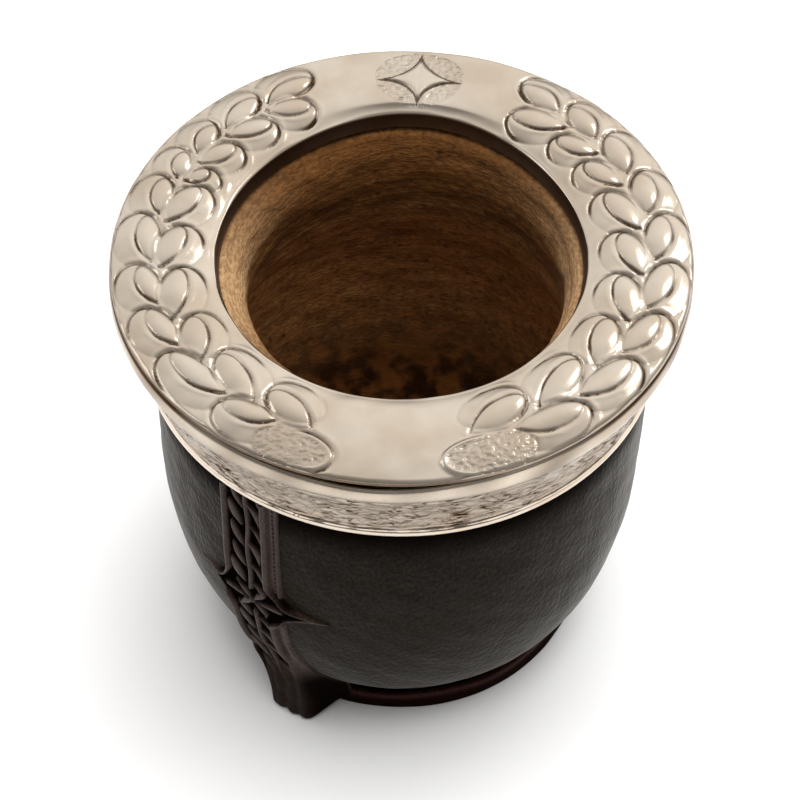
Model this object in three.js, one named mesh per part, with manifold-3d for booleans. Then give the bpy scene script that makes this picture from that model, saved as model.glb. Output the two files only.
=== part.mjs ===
// A mate gourd: a calabash cup in a fitted leather cover, with two tooled leather straps that end in
// legs, a leather sole, and a chased nickel-silver rim made of a top plate and a skirt.
// Millimetres, +Z up. The origin is on the floor, on the cup's axis, and -Y is the front.
import * as THREE from "three";
import { mergeVertices } from "three/addons/utils/BufferGeometryUtils.js";
import Module from "manifold-3d";

// Driving dimensions
const AROUND = 48; // sides of a turned piece
const GAP = 0.3; // clearance between pieces that touch

const RIM_RADIUS = 52.5; // outer edge of the top plate
const RIM_LEVEL = 93.4; // height of that edge above the floor
const PLATE_CROWN = 1.4; // height of the plate's crown curve's handle over its edge
const PLATE_SHEET = 1.0; // sheet metal thickness
const PLATE_EDGE = 0.5; // from the outer edge in to where its rounding starts
const PLATE_EDGE_HANDLE = 0.3; // how far the handle of that rounding lies outside the edge
const PLATE_EDGE_UNDER = 1.4; // from the outer edge in to where the underside starts
const PLATE_BENDS = [0.2, 0.4, 0.6, 0.8]; // places of the crown's bends, from the edge to the lip
const LIP_RISE = 0.3; // how much higher the lip is than the outer edge
const MOUTH_RADIUS = 33.0; // inside of the rim's collar
const LIP_ROLL = 2.2; // radius over which the plate rolls down into the mouth
const COLLAR_DEPTH = 3.7; // from the rim's edge level to the collar's lower end
const COLLAR_BEND = 0.8; // bevel in the corner between collar and plate

const SKIRT_FOOT = 71.9; // lower edge of the skirt
const SKIRT_BAND_RADIUS = 53.0; // smooth band at the skirt's top
const SKIRT_BAND_HEIGHT = 4.6;
const SKIRT_BAND_FOOT = 1; // height of the band's lower rounding
const SKIRT_BAND_SHOULDER = 1.5; // height of its upper rounding
const SKIRT_BAND_EDGE = 1; // how far the upper rounding turns in
const SKIRT_GROOVE = 0.9; // depth of the groove under the band
const SKIRT_FOOT_RADIUS = 47.7;
const SKIRT_BEAD = 0.3; // how far the bead at the foot stands out
const SKIRT_BEAD_HEIGHT = 1.6;
const SKIRT_SHEET = 1.1;
// The hollow curve between the band and the bead, radius and height.
const SKIRT_HOLLOW = [
  [48.2, 76.2],
  [49.0, 79.6],
  [50.5, 83.4],
];

const COVER_SHEET = 2.0; // leather thickness
const COVER_TOP = 80.5; // the cover's upper edge, hidden by the skirt
const COVER_FOOT = 3.6; // its turned-in lower edge
const COVER_INSIDE_LEVELS = [10, 18, 28, 40, 56, 70]; // heights where the hidden faces of cover and gourd bend
// Outside of the leather cover, radius and height: nearly straight sides over a bowl that draws in.
const COVER_OUTLINE = [
  [33.9, COVER_FOOT],
  [35.3, 6.1],
  [40.1, 13.4],
  [43.4, 23.4],
  [45.6, 35.4],
  [46.4, 48.4],
  [46.3, 61.4],
  [46.2, COVER_TOP],
];

const SOLE_RADIUS = 36;
const SOLE_HEIGHT = 3.3;
const SOLE_EDGE = 0.8; // bevel of the sole's edge
const SOLE_BOSS_RADIUS = 31.4; // raised middle that carries the gourd
const SOLE_BOSS_TOP = 4.3;

const GOURD_FOOT = SOLE_BOSS_TOP + GAP;
const GOURD_FOOT_RADIUS = 28;
const GOURD_SHOULDER_RADIUS = 43;
const GOURD_SHOULDER = 80; // where its outside turns in under the rim
const GOURD_TOP = RIM_LEVEL - COLLAR_DEPTH - GAP; // cut edge of the gourd, under the collar
const GOURD_TOP_OUTSIDE = 39.5; // outside of the cut edge
const GOURD_TOP_RADIUS = 32.6; // where the bevel of the cut edge starts
const BEVEL_BEND = [0.7, 0.55]; // bend of the bevel, as shares of its width and height
const LIP_EDGE = 0.4; // worn corner of the cut edge
const NECK_RADIUS = 27.4; // narrowest place of the mouth
const NECK_LEVEL = 85.6;
const CAVITY_FOOT = 14.5;
// Inside of the gourd below its neck: a pear-shaped hollow.
const CAVITY_OUTLINE = [
  [NECK_RADIUS, NECK_LEVEL],
  [29.5, 78.7],
  [33.6, 69],
  [36.6, 57.5],
  [36.9, 45.5],
  [34.6, 33.5],
  [28.5, 23],
  [17.5, 16.6],
  [0, CAVITY_FOOT],
];

const STRAP_TURN = -36; // degrees from the front, about +Z
const STRAP_COUNT = 2;
const STRAP_HALF = 6.3; // half the strap's width
const STRAP_FACE_HALF = 3.7; // from its middle to the crest of each edge bead
const STRAP_RISE = 1.7; // height of the beads over the cover
const STRAP_EDGE = 0.7; // thickness of its thin outer margin
const STRAP_BEAD = 1.3; // width of a bead
const STRAP_FIELD_DROP = 0.6; // depth of the carved field between the beads
const STRAP_SHOULDER = 0.6; // place of the shoulder between the margin and the bead
const SHOULDER_RISE = 0.3; // its height there, as a share of the bead's
const LEG_SHOULDER_RISE = 0.4; // the same on the leg
const STRAP_COLUMNS = 8; // strips across the strap
const STRAP_LEVELS = [56, 64]; // slices above the star
const STAR_LEVEL = 39.6; // middle of the four-pointed star
const STAR_REACH = 15.4; // from the strap's middle to the star's side points
const STAR_RISE = 7.5; // half the height over which the side points spread
const STAR_SHARPNESS = 4; // power of the curve that draws them out
// Slices through the star, as shares of that half height: close where the points are thin.
const STAR_SHARES = [-1, -0.65, -0.4, -0.22, -0.1, 0, 0.1, 0.22, 0.4, 0.65, 1];
const LEG_TOP = 26; // the strap leaves the cover below this and becomes the leg
const LEG_LEVELS = [0, 0.8, 1.8, 3, 4.4, 7, 11, 16, 21]; // slices through the leg
const LEG_ROOT_HALF = 9.2; // half the leg's width where it meets the sole
const LEG_FACE_HALF = 3.2; // half the width of the leg's front
const LEG_LEAN = 2.7; // sideways lean of the leg at the floor
const LEG_LIFT = 3.4; // how far its side corners rise off the floor
const LEG_TIP_HALF = 1.5; // half the width of the tip it stands on
// Front edge of the leg, radius and height.
const LEG_OUTLINE = [
  [42.0, 0],
  [43.2, 1.6],
  [44.4, 8],
  [45.2, 18],
  [45.6, LEG_TOP],
];

const WREATH_TURN = -3.5; // the chasing sits this many degrees off the front
const WREATH_STEPS = 9; // leaf groups in each half of the wreath
const WREATH_FIRST = 31; // degrees from the front to the first group
const WREATH_LAST = 149;
const WREATH_STEM_RADIUS = 44.6; // the stem line between the inner and outer leaves
const LEAF_LENGTH = 9.4;
const LEAF_WIDTH = 5.0;
const LEAF_RISE = 0.75; // height of a leaf's dome
const LEAF_TILT = 21; // degrees between a leaf and the stem line
const LEAF_FRONT = 2.5; // from the stem to the middle of a leaf beside it
const LEAF_BACK = 4.7; // from the stem to the middle of the leaf behind that one
const BUD_TURN = 19; // degrees from the front to the bud at each end
const BUD_RADIUS = 48.5;
const BUD_LENGTH = 12;
const BUD_WIDTH = 7.2;
const BUD_TILT = 12;
const STAR_PLATE_RADIUS = 44.4;
const STAR_PLATE_HALF = 7; // middle of the plate's star to a point
const STAR_PLATE_RISE = 0.5;
const STAR_PLATE_ROOT = 1; // how deep the star sits in the sheet

// Materials
const silver = new THREE.MeshStandardMaterial({ color: 0xd8c9b6, roughness: 0.25, metalness: 1 });
const calabash = new THREE.MeshStandardMaterial({ color: 0x7a5230, roughness: 0.85, metalness: 0 });
const leather = new THREE.MeshStandardMaterial({ color: 0x2b2724, roughness: 0.55, metalness: 0 });
const tooledLeather = new THREE.MeshStandardMaterial({ color: 0x2a1d19, roughness: 0.5, metalness: 0 });
const soleLeather = new THREE.MeshStandardMaterial({ color: 0x2a1814, roughness: 0.5, metalness: 0 });

// Helpers
const wasm = await Module();
wasm.setup();

const radians = THREE.MathUtils.degToRad;
const lerp = THREE.MathUtils.lerp;
const point = ([radius, height]) => new THREE.Vector2(radius, height);
const smoothThrough = (outline, divisions) => new THREE.SplineCurve(outline.map(point)).getPoints(divisions);

// Radius of an outline at a height, read from its smooth curve.
function radiusAt(curve, height) {
  const next = curve.findIndex((p, i) => i > 0 && p.y >= height);
  const upper = curve[next < 0 ? curve.length - 1 : next];
  const lower = curve[next < 0 ? curve.length - 2 : next - 1];
  return lerp(lower.x, upper.x, (height - lower.y) / (upper.y - lower.y));
}

// A profile of radius and height turned about the upright axis. It runs up the outside and down the inside.
function turned(profile) {
  return new THREE.LatheGeometry(profile, AROUND).rotateX(Math.PI / 2);
}

function named(name, geometry, material) {
  const mesh = new THREE.Mesh(geometry, material);
  mesh.name = name;
  return mesh;
}

function toSolid(geometry) {
  const bare = geometry.clone();
  bare.deleteAttribute("normal");
  bare.deleteAttribute("uv");
  const merged = mergeVertices(bare, 1e-4);
  return new wasm.Manifold(
    new wasm.Mesh({
      numProp: 3,
      vertProperties: new Float32Array(merged.attributes.position.array),
      triVerts: new Uint32Array(merged.index.array),
    }),
  );
}

function toGeometry(solid) {
  const mesh = solid.getMesh();
  const geometry = new THREE.BufferGeometry();
  geometry.setAttribute("position", new THREE.BufferAttribute(new Float32Array(mesh.vertProperties), 3));
  geometry.setIndex(new THREE.BufferAttribute(new Uint32Array(mesh.triVerts), 1));
  geometry.computeVertexNormals();
  return geometry;
}

// Leather cover
const coverCurve = smoothThrough(COVER_OUTLINE, 120);
const coverRadius = (height) => radiusAt(coverCurve, height);

function makeCover() {
  const outside = smoothThrough(COVER_OUTLINE, 11);
  const insideLevels = [COVER_FOOT, ...COVER_INSIDE_LEVELS, COVER_TOP].reverse();
  const inside = insideLevels.map((height) => point([coverRadius(height) - COVER_SHEET, height]));
  return named("leather_cover", turned([...outside, ...inside, outside[0]]), leather);
}

// Leather sole under the cover
function makeSole() {
  const profile = [
    [0, 0],
    [SOLE_RADIUS - SOLE_EDGE / 2, 0],
    [SOLE_RADIUS, SOLE_EDGE],
    [SOLE_RADIUS, SOLE_HEIGHT - SOLE_EDGE],
    [SOLE_RADIUS - SOLE_EDGE, SOLE_HEIGHT],
    [SOLE_BOSS_RADIUS, SOLE_HEIGHT],
    [SOLE_BOSS_RADIUS, SOLE_BOSS_TOP],
    [0, SOLE_BOSS_TOP],
  ].map(point);
  return named("leather_sole", turned(profile), soleLeather);
}

// Calabash gourd: its outside lies in the cover, its cut edge is bevelled down to the neck
function makeGourd() {
  const inCover = COVER_SHEET + GAP;
  const profile = [
    [0, GOURD_FOOT],
    [GOURD_FOOT_RADIUS, GOURD_FOOT],
    ...COVER_INSIDE_LEVELS.map((height) => [coverRadius(height) - inCover, height]),
    [GOURD_SHOULDER_RADIUS, GOURD_SHOULDER],
    [GOURD_TOP_OUTSIDE, GOURD_TOP],
    [GOURD_TOP_RADIUS + LIP_EDGE, GOURD_TOP],
    [GOURD_TOP_RADIUS, GOURD_TOP - LIP_EDGE],
    [lerp(GOURD_TOP_RADIUS, NECK_RADIUS, BEVEL_BEND[0]), lerp(GOURD_TOP, NECK_LEVEL, BEVEL_BEND[1])],
  ].map(point);
  return named("gourd", turned([...profile, ...smoothThrough(CAVITY_OUTLINE, 10)]), calabash);
}

// Top plate of the rim: a crowned ring that rolls over a lip into a short collar
function plateTop(radius) {
  const inner = MOUTH_RADIUS + LIP_ROLL;
  const t = (RIM_RADIUS - radius) / (RIM_RADIUS - inner);
  return RIM_LEVEL + 2 * t * (1 - t) * PLATE_CROWN + LIP_RISE * t;
}

function makePlateBlank() {
  const lipTop = plateTop(MOUTH_RADIUS + LIP_ROLL);
  const under = RIM_LEVEL - PLATE_SHEET;
  const collarFoot = RIM_LEVEL - COLLAR_DEPTH;
  const collarOut = MOUTH_RADIUS + PLATE_SHEET;
  const edgeDrop = PLATE_SHEET + GAP;
  const edgeStart = RIM_RADIUS - PLATE_EDGE;
  const profile = new THREE.Path();
  profile.moveTo(MOUTH_RADIUS, collarFoot);
  profile.lineTo(collarOut, collarFoot);
  profile.lineTo(collarOut, under - COLLAR_BEND);
  profile.lineTo(collarOut + COLLAR_BEND, under);
  profile.lineTo(RIM_RADIUS - PLATE_EDGE_UNDER, under);
  profile.lineTo(edgeStart, RIM_LEVEL - edgeDrop);
  profile.quadraticCurveTo(RIM_RADIUS + PLATE_EDGE_HANDLE, RIM_LEVEL - edgeDrop / 2, edgeStart, RIM_LEVEL);
  for (const share of PLATE_BENDS) {
    const radius = lerp(RIM_RADIUS, MOUTH_RADIUS + LIP_ROLL, share);
    profile.lineTo(radius, plateTop(radius));
  }
  profile.lineTo(MOUTH_RADIUS + LIP_ROLL, lipTop);
  profile.quadraticCurveTo(MOUTH_RADIUS, lipTop, MOUTH_RADIUS, lipTop - LIP_ROLL);
  profile.lineTo(MOUTH_RADIUS, collarFoot);
  return toSolid(turned(profile.getPoints(3)));
}

// Puts a shape that lies on the XY plane onto the plate, at a radius and at degrees from the front.
function ontoPlate(geometry, radius, turn) {
  return geometry.translate(0, -radius, plateTop(radius)).rotateZ(radians(turn + WREATH_TURN));
}

// One domed leaf: an ellipsoid whose lower half sinks into the plate.
function leafSolid(turn, radius, tilt, length, width) {
  const leaf = new THREE.SphereGeometry(1, 8, 3).rotateX(Math.PI / 2);
  leaf.scale(length / 2, width / 2, LEAF_RISE).rotateZ(radians(tilt));
  return toSolid(ontoPlate(leaf, radius, turn));
}

// Half a wreath: pairs of leaves outside and inside the stem, and the bud at the front end.
function wreathHalf(side) {
  const leaves = [];
  for (let step = 0; step < WREATH_STEPS; step++) {
    const turn = side * lerp(WREATH_FIRST, WREATH_LAST, step / (WREATH_STEPS - 1));
    for (const outward of [1, -1]) {
      const tilt = -side * outward * LEAF_TILT;
      for (const offset of [LEAF_BACK, LEAF_FRONT]) {
        leaves.push(leafSolid(turn, WREATH_STEM_RADIUS + outward * offset, tilt, LEAF_LENGTH, LEAF_WIDTH));
      }
    }
  }
  leaves.push(leafSolid(side * BUD_TURN, BUD_RADIUS, side * BUD_TILT, BUD_LENGTH, BUD_WIDTH));
  return leaves;
}

// The four-pointed star opposite the plain front, with sides that curve in.
function plateStar() {
  const shape = new THREE.Shape();
  const corners = [0, 1, 2, 3].map((n) => new THREE.Vector2(STAR_PLATE_HALF, 0).rotateAround(
    new THREE.Vector2(), (n * Math.PI) / 2));
  shape.moveTo(corners[3].x, corners[3].y);
  for (const corner of corners) shape.quadraticCurveTo(0, 0, corner.x, corner.y);
  const depth = STAR_PLATE_ROOT + STAR_PLATE_RISE;
  const star = new THREE.ExtrudeGeometry(shape, { depth, bevelEnabled: false, curveSegments: 5 });
  return toSolid(ontoPlate(star.translate(0, 0, -STAR_PLATE_ROOT), STAR_PLATE_RADIUS, 180));
}

function makePlate() {
  const relief = [...wreathHalf(1), ...wreathHalf(-1), plateStar()];
  const plate = relief.reduce((body, leaf) => body.add(leaf), makePlateBlank());
  return named("rim_plate", toGeometry(plate), silver);
}

// Skirt of the rim: a smooth band on top, a hollow curve for the engraving, and a bead at its foot
function makeSkirt() {
  const top = RIM_LEVEL - PLATE_SHEET - 2 * GAP;
  const bandFoot = top - SKIRT_BAND_HEIGHT;
  const bandRoot = SKIRT_BAND_RADIUS - SKIRT_GROOVE;
  const foot = [coverRadius(SKIRT_FOOT) + GAP, SKIRT_FOOT];
  const hollowInside = SKIRT_HOLLOW.map(([radius, height]) => [radius - SKIRT_SHEET, height]).reverse();
  const profile = [
    foot,
    [SKIRT_FOOT_RADIUS, SKIRT_FOOT],
    [SKIRT_FOOT_RADIUS + SKIRT_BEAD, SKIRT_FOOT + SKIRT_BEAD_HEIGHT / 2],
    [SKIRT_FOOT_RADIUS, SKIRT_FOOT + SKIRT_BEAD_HEIGHT],
    ...SKIRT_HOLLOW,
    [bandRoot, bandFoot],
    [SKIRT_BAND_RADIUS, bandFoot + SKIRT_BAND_FOOT],
    [SKIRT_BAND_RADIUS, top - SKIRT_BAND_SHOULDER],
    [SKIRT_BAND_RADIUS - SKIRT_BAND_EDGE, top],
    [bandRoot - SKIRT_SHEET, top],
    [bandRoot - SKIRT_SHEET, bandFoot],
    ...hollowInside,
    foot,
  ].map(point);
  return named("rim_skirt", turned(profile), silver);
}

// Tooled strap with its leg: level slices from the floor up, joined into one skin
const legCurve = smoothThrough(LEG_OUTLINE, 40);

// What lies behind the strap at a height: the sole's edge at the floor, the cover above it.
function backing(height) {
  return (height < COVER_FOOT ? SOLE_RADIUS : Math.max(coverRadius(height), SOLE_RADIUS)) + GAP;
}

// How far the strap has become a leg at a height: 0 on the cover, 1 at the floor.
function legShare(height) {
  return THREE.MathUtils.smoothstep(LEG_TOP - height, 0, LEG_TOP);
}

// The strap's front at a height: places across it, each with its radius, from left to right.
function strapFront(height) {
  const back = backing(height);
  const leg = legShare(height);
  const star = Math.max(0, 1 - Math.abs(height - STAR_LEVEL) / STAR_RISE) ** STAR_SHARPNESS;
  const half = lerp(lerp(STRAP_HALF, LEG_ROOT_HALF, leg), STAR_REACH, star);
  const face = lerp(STRAP_FACE_HALF, LEG_FACE_HALF, leg);
  const crest = height < LEG_TOP ? Math.max(radiusAt(legCurve, height), back + STRAP_RISE) : back + STRAP_RISE;
  const margin = back + STRAP_EDGE;
  const shoulderRise = lerp(SHOULDER_RISE, LEG_SHOULDER_RISE, leg);
  const shoulder = [lerp(half, face, STRAP_SHOULDER), lerp(margin, crest, shoulderRise)];
  const rightHalf = [
    [face - STRAP_BEAD, crest - STRAP_FIELD_DROP * (1 - leg)],
    [face, crest],
    shoulder,
    [half, margin],
  ];
  const leftHalf = rightHalf.map(([across, radius]) => [-across, radius]).reverse();
  return [...leftHalf, [0, crest], ...rightHalf];
}

// How far a place on the leg rises because the leg is rounded off towards its tip.
function footLift(level, across) {
  const foot = Math.max(0, 1 - level / LEG_TOP) ** 2;
  return LEG_LIFT * foot * THREE.MathUtils.smoothstep(Math.abs(across), LEG_TIP_HALF, LEG_ROOT_HALF);
}

// A box of thin strips, laid on the cover. Its columns take their places across the strap and its rows
// their heights.
function makeStrap(name, turn) {
  const starLevels = STAR_SHARES.map((share) => STAR_LEVEL + share * STAR_RISE);
  const levels = [...LEG_LEVELS, LEG_TOP, ...starLevels, ...STRAP_LEVELS, SKIRT_FOOT - GAP];
  const rows = levels.length - 1;
  const strap = new THREE.BoxGeometry(1, 1, 1, STRAP_COLUMNS, 1, rows);
  const corner = strap.attributes.position;
  for (let i = 0; i < corner.count; i++) {
    const level = levels[Math.round((corner.getZ(i) + 0.5) * rows)];
    const column = Math.round((corner.getX(i) + 0.5) * STRAP_COLUMNS);
    const height = level + footLift(level, strapFront(level)[column][0]);
    const [across, front] = strapFront(height)[column];
    const radius = corner.getY(i) < 0 ? front : backing(height);
    const x = across + LEG_LEAN * legShare(height);
    corner.setXYZ(i, x, -Math.sqrt(radius ** 2 - x ** 2), height);
  }
  strap.computeVertexNormals();
  const mesh = named(name, strap, tooledLeather);
  mesh.rotation.z = radians(turn);
  return mesh;
}

// The assembled cup
const mate = new THREE.Group();
mate.add(makeGourd(), makeCover(), makeSole(), makePlate(), makeSkirt());
for (let n = 0; n < STRAP_COUNT; n++) {
  mate.add(makeStrap(`strap_leg_${n + 1}`, STRAP_TURN + (n * 360) / STRAP_COUNT));
}

export default mate;
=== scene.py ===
# %% [markdown]
# A mate cup, built over the frame of its solid model. The real cup is a calabash gourd in a tight dark
# leather cover. Tooled leather straps run down the cover and end in legs. A chased nickel-silver rim
# closes the top: a wide plate with a wreath of leaves, and an engraved skirt under it.
# Each cell makes one piece or one finish. Sizes are in millimetres until a mesh is finished.

# %% Load the frame
import math

import bmesh
import bpy
import numpy as np
from mathutils import Matrix, Vector, kdtree


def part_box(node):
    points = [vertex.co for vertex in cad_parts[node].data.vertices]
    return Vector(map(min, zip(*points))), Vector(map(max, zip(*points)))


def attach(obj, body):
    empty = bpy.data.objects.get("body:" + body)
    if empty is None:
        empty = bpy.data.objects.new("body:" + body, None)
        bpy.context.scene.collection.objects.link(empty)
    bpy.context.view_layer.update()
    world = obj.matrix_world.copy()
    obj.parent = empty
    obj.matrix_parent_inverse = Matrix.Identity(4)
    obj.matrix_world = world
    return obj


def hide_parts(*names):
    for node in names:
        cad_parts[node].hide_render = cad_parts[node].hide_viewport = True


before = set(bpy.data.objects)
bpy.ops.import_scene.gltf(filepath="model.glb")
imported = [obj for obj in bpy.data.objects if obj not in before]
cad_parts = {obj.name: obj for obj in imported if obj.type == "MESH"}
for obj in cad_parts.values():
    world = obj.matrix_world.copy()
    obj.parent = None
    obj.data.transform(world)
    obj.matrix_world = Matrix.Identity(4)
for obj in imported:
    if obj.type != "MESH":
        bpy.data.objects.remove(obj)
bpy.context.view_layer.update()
MM = 0.001


def node_box(node):
    """Lowest and highest corner of a solid, in millimetres."""
    low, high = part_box(node)
    return low / MM, high / MM


plate_low, _ = node_box("rim_plate")
skirt_low, skirt_high = node_box("rim_skirt")
cover_low, cover_high = node_box("leather_cover")
_, sole_high = node_box("leather_sole")
gourd_low, gourd_high = node_box("gourd")
print("solids:", sorted(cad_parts))

# %% [markdown]
# The camera stands where the photograph was taken: in front of the cup and looking down on its rim.
# A long lens far away gives the flat perspective of a product photograph. The camera aims at a point on
# the cup's axis, so no lens shift is needed and every other view keeps the same framing.

# %% Camera
COLLAR_DEPTH = 3.7
RIM_LEVEL = plate_low.z + COLLAR_DEPTH
CAMERA_ELEVATION = math.radians(50.41)
CAMERA_DISTANCE = 556.6
AIM_BELOW_RIM = 41.46
AIM_SIDE = -0.19
LENS = 130.69

aim = Vector((AIM_SIDE, 0, RIM_LEVEL - AIM_BELOW_RIM)) * MM
away = Vector((0, -math.cos(CAMERA_ELEVATION), math.sin(CAMERA_ELEVATION)))
camera_data = bpy.data.cameras.new("camera")
camera_data.lens = LENS
camera = bpy.data.objects.new("camera", camera_data)
camera.location = aim + away * CAMERA_DISTANCE * MM
camera.rotation_euler = (-away).to_track_quat("-Z", "Y").to_euler()
bpy.context.scene.collection.objects.link(camera)
bpy.context.scene.camera = camera
print("camera at", tuple(round(c, 4) for c in camera.location))

# %% [markdown]
# Finishes are node trees. Wiring nodes by hand hides the maths, so a small class wraps an output socket:
# adding, multiplying or subtracting wires adds the Math nodes, and the material's one method makes any
# other node from its type, its settings and its inputs.


# %% Shader helpers
class Wire:
    """An output socket. Arithmetic on it adds Math nodes to its finish."""

    def __init__(self, finish, socket):
        self.finish = finish
        self.socket = socket

    def math(self, operation, *operands):
        return self.finish.node("ShaderNodeMath", {"operation": operation}, dict(enumerate(operands)))

    def __add__(self, other):
        return self.math("ADD", self, other)

    def __mul__(self, other):
        return self.math("MULTIPLY", self, other)

    def __sub__(self, other):
        return self.math("SUBTRACT", self, other)

    def __rsub__(self, other):
        return self.math("SUBTRACT", other, self)

    __radd__ = __add__
    __rmul__ = __mul__


class Finish:
    """A material or a sky that is being wired."""

    def __init__(self, owner):
        self.owner = owner
        owner.use_nodes = True
        self.tree = owner.node_tree
        self.tree.nodes.clear()

    def node(self, kind, settings=(), inputs=(), output=0):
        made = self.tree.nodes.new(kind)
        for key, value in dict(settings).items():
            setattr(made, key, value)
        for key, value in dict(inputs).items():
            if isinstance(value, Wire):
                self.tree.links.new(value.socket, made.inputs[key])
            else:
                made.inputs[key].default_value = value
        return Wire(self, made.outputs[output]) if made.outputs else made

    def place(self, scale=(1, 1, 1)):
        """Object coordinates, stretched."""
        spot = self.node("ShaderNodeTexCoord", output="Object")
        return self.node("ShaderNodeMapping", {}, {"Vector": spot, "Scale": scale})

    def noise(self, scale, detail=3.0, stretch=(1, 1, 1)):
        inputs = {"Vector": self.place(stretch), "Scale": scale, "Detail": detail}
        return self.node("ShaderNodeTexNoise", {}, inputs)

    def attribute(self, name):
        return self.node("ShaderNodeAttribute", {"attribute_name": name}, output="Fac")

    def band(self, value, low, high):
        """0 below low, 1 above high, smooth between."""
        settings = {"interpolation_type": "SMOOTHSTEP"}
        return self.node("ShaderNodeMapRange", settings, {"Value": value, "From Min": low, "From Max": high})

    def mix(self, share, first, second):
        return self.node("ShaderNodeMix", {"data_type": "RGBA"}, {0: share, 6: first, 7: second}, output=2)

    def bump(self, height, strength, distance, under=None):
        inputs = {"Height": height, "Strength": strength, "Distance": distance * MM}
        if under:
            inputs["Normal"] = under
        return self.node("ShaderNodeBump", {}, inputs)

    def surface(self, matt=None, **inputs):
        """The shader itself, mixed by the share matt with a dull one. Underscores stand for spaces."""
        named = {key.replace("_", " "): value for key, value in inputs.items()}
        shader = self.node("ShaderNodeBsdfPrincipled", {}, named)
        if matt:
            plain = {
                "Base Color": inputs["Base_Color"],
                "Normal": inputs["Normal"],
                "Roughness": 1.0,
                "Specular IOR Level": 0.0,
            }
            dull = self.node("ShaderNodeBsdfPrincipled", {}, plain)
            shader = self.node("ShaderNodeMixShader", {}, {0: matt, 1: shader, 2: dull})
        self.node("ShaderNodeOutputMaterial", {}, {"Surface": shader})
        return self.owner


# %% [markdown]
# Most of the cup is round, so most pieces are an outline turned once about the axis. Hand work then
# shows as small moves of the vertices: dents, ripples, chased leaves. These helpers turn an outline,
# make the finished object, and give smooth noise that is the same on each run.


# %% Mesh helpers
DOUBLINGS = 5


def turned(outline, steps):
    """A bmesh: an outline of (radius, height) points turned once round the upright axis.

    A sector is spun and then doubled until the turn is full, which is quicker than one long spin.
    """
    bm = bmesh.new()
    verts = [bm.verts.new((0, -radius, height)) for radius, height in outline]
    edges = [bm.edges.new(pair) for pair in zip(verts, verts[1:])]
    sector = math.tau / 2**DOUBLINGS
    steps //= 2**DOUBLINGS
    bmesh.ops.spin(bm, geom=verts + edges, cent=(0, 0, 0), axis=(0, 0, 1), angle=sector, steps=steps)
    for doubling in range(DOUBLINGS):
        copy = bmesh.ops.duplicate(bm, geom=bm.verts[:] + bm.edges[:] + bm.faces[:])["geom"]
        copied = [item for item in copy if isinstance(item, bmesh.types.BMVert)]
        turn = Matrix.Rotation(sector * 2**doubling, 3, "Z")
        bmesh.ops.rotate(bm, verts=copied, cent=(0, 0, 0), matrix=turn)
    bmesh.ops.remove_doubles(bm, verts=bm.verts, dist=1e-4)
    bmesh.ops.recalc_face_normals(bm, faces=bm.faces)
    return bm


def smooth_through(points, count):
    """A smooth curve through the points, sampled evenly in its parameter."""
    knots = np.array([points[0], *points, points[-1]], float)
    samples = []
    for spot in np.linspace(0, len(points) - 1, count):
        first = min(int(spot), len(points) - 2)
        t = spot - first
        a, b, c, d = knots[first : first + 4]
        bend = a - 2.5 * b + 2 * c - d / 2 + t * (1.5 * (b - c) + (d - a) / 2)
        samples.append(b + t * ((c - a) / 2 + t * bend))
    return np.array(samples)


def smoothstep(low, high, value):
    t = np.clip((value - low) / (high - low), 0, 1)
    return t * t * (3 - 2 * t)


def mix(first, second, share):
    return first + (second - first) * share


def ripple(points, wavelength, seed, waves=7):
    """Smooth noise between about -1 and 1: a few sine waves in drawn directions."""
    draw = np.random.default_rng(seed)
    total = np.zeros(len(points))
    for _ in range(waves):
        direction = draw.normal(size=3)
        direction *= math.tau / wavelength * draw.uniform(0.6, 1.5) / np.linalg.norm(direction)
        total += np.sin(points @ direction + draw.uniform(0, math.tau))
    return total / math.sqrt(waves)


def points_of(bm):
    """Vertex places as an array, in millimetres."""
    return np.array([v.co for v in bm.verts])


def move_to(bm, points):
    for vert, place in zip(bm.verts, points):
        vert.co = place


def finished(bm, name, slot, material, node=None, crease=50, **attributes):
    """Puts a bmesh into the scene as a piece, in metres, with its per-vertex attributes."""
    bmesh.ops.scale(bm, vec=(MM, MM, MM), verts=bm.verts)
    mesh = bpy.data.meshes.new(name)
    bm.to_mesh(mesh)
    bm.free()
    mesh.shade_smooth()
    mesh.set_sharp_from_angle(angle=math.radians(crease))
    for key, values in attributes.items():
        mesh.attributes.new(key, "FLOAT", "POINT").data.foreach_set("value", values.astype(np.float32))
    mesh.materials.append(material)
    piece = bpy.data.objects.new(name, mesh)
    bpy.context.scene.collection.objects.link(piece)
    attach(piece, "root")
    if node:
        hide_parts(node)
    triangles = sum(len(face.vertices) - 2 for face in mesh.polygons)
    print(name, "triangles", triangles)


def polar(points):
    """Angle from the front, positive to the right, and radius of each point."""
    return np.arctan2(points[:, 0], -points[:, 1]), np.hypot(points[:, 0], points[:, 1])


# %% [markdown]
# The rim's metal is nickel silver: polished, warm, with a dark patina left in the chased lines. The
# patina is painted per vertex while the leaves are chased, and the finish reads that attribute. The same
# attribute also carries the collar's tarnish with painted shade, a painted shadow under the plate's
# rolled edge, and painted shade at the top of the skirt's band. The finish adds what is too fine for
# the mesh: pits in the stipple, and short strokes of the graver in the frieze. A stroke lies where a
# stretched noise crosses its middle value, and a second noise breaks it off.


# %% Nickel silver
SILVER_DULL = (0.555, 0.462, 0.365, 1)
SILVER_BRIGHT = (0.67, 0.59, 0.495, 1)
# The brown of the patina, also used for the painted shade that the same attribute carries.
PATINA_AND_SHADE_BROWN = (0.08, 0.044, 0.021, 1)
GRAVER_SCALES = (105, 170)
GRAVER_STRETCH = (1, 1, 4.6)
GRAVER_TINT = 0.38


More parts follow.
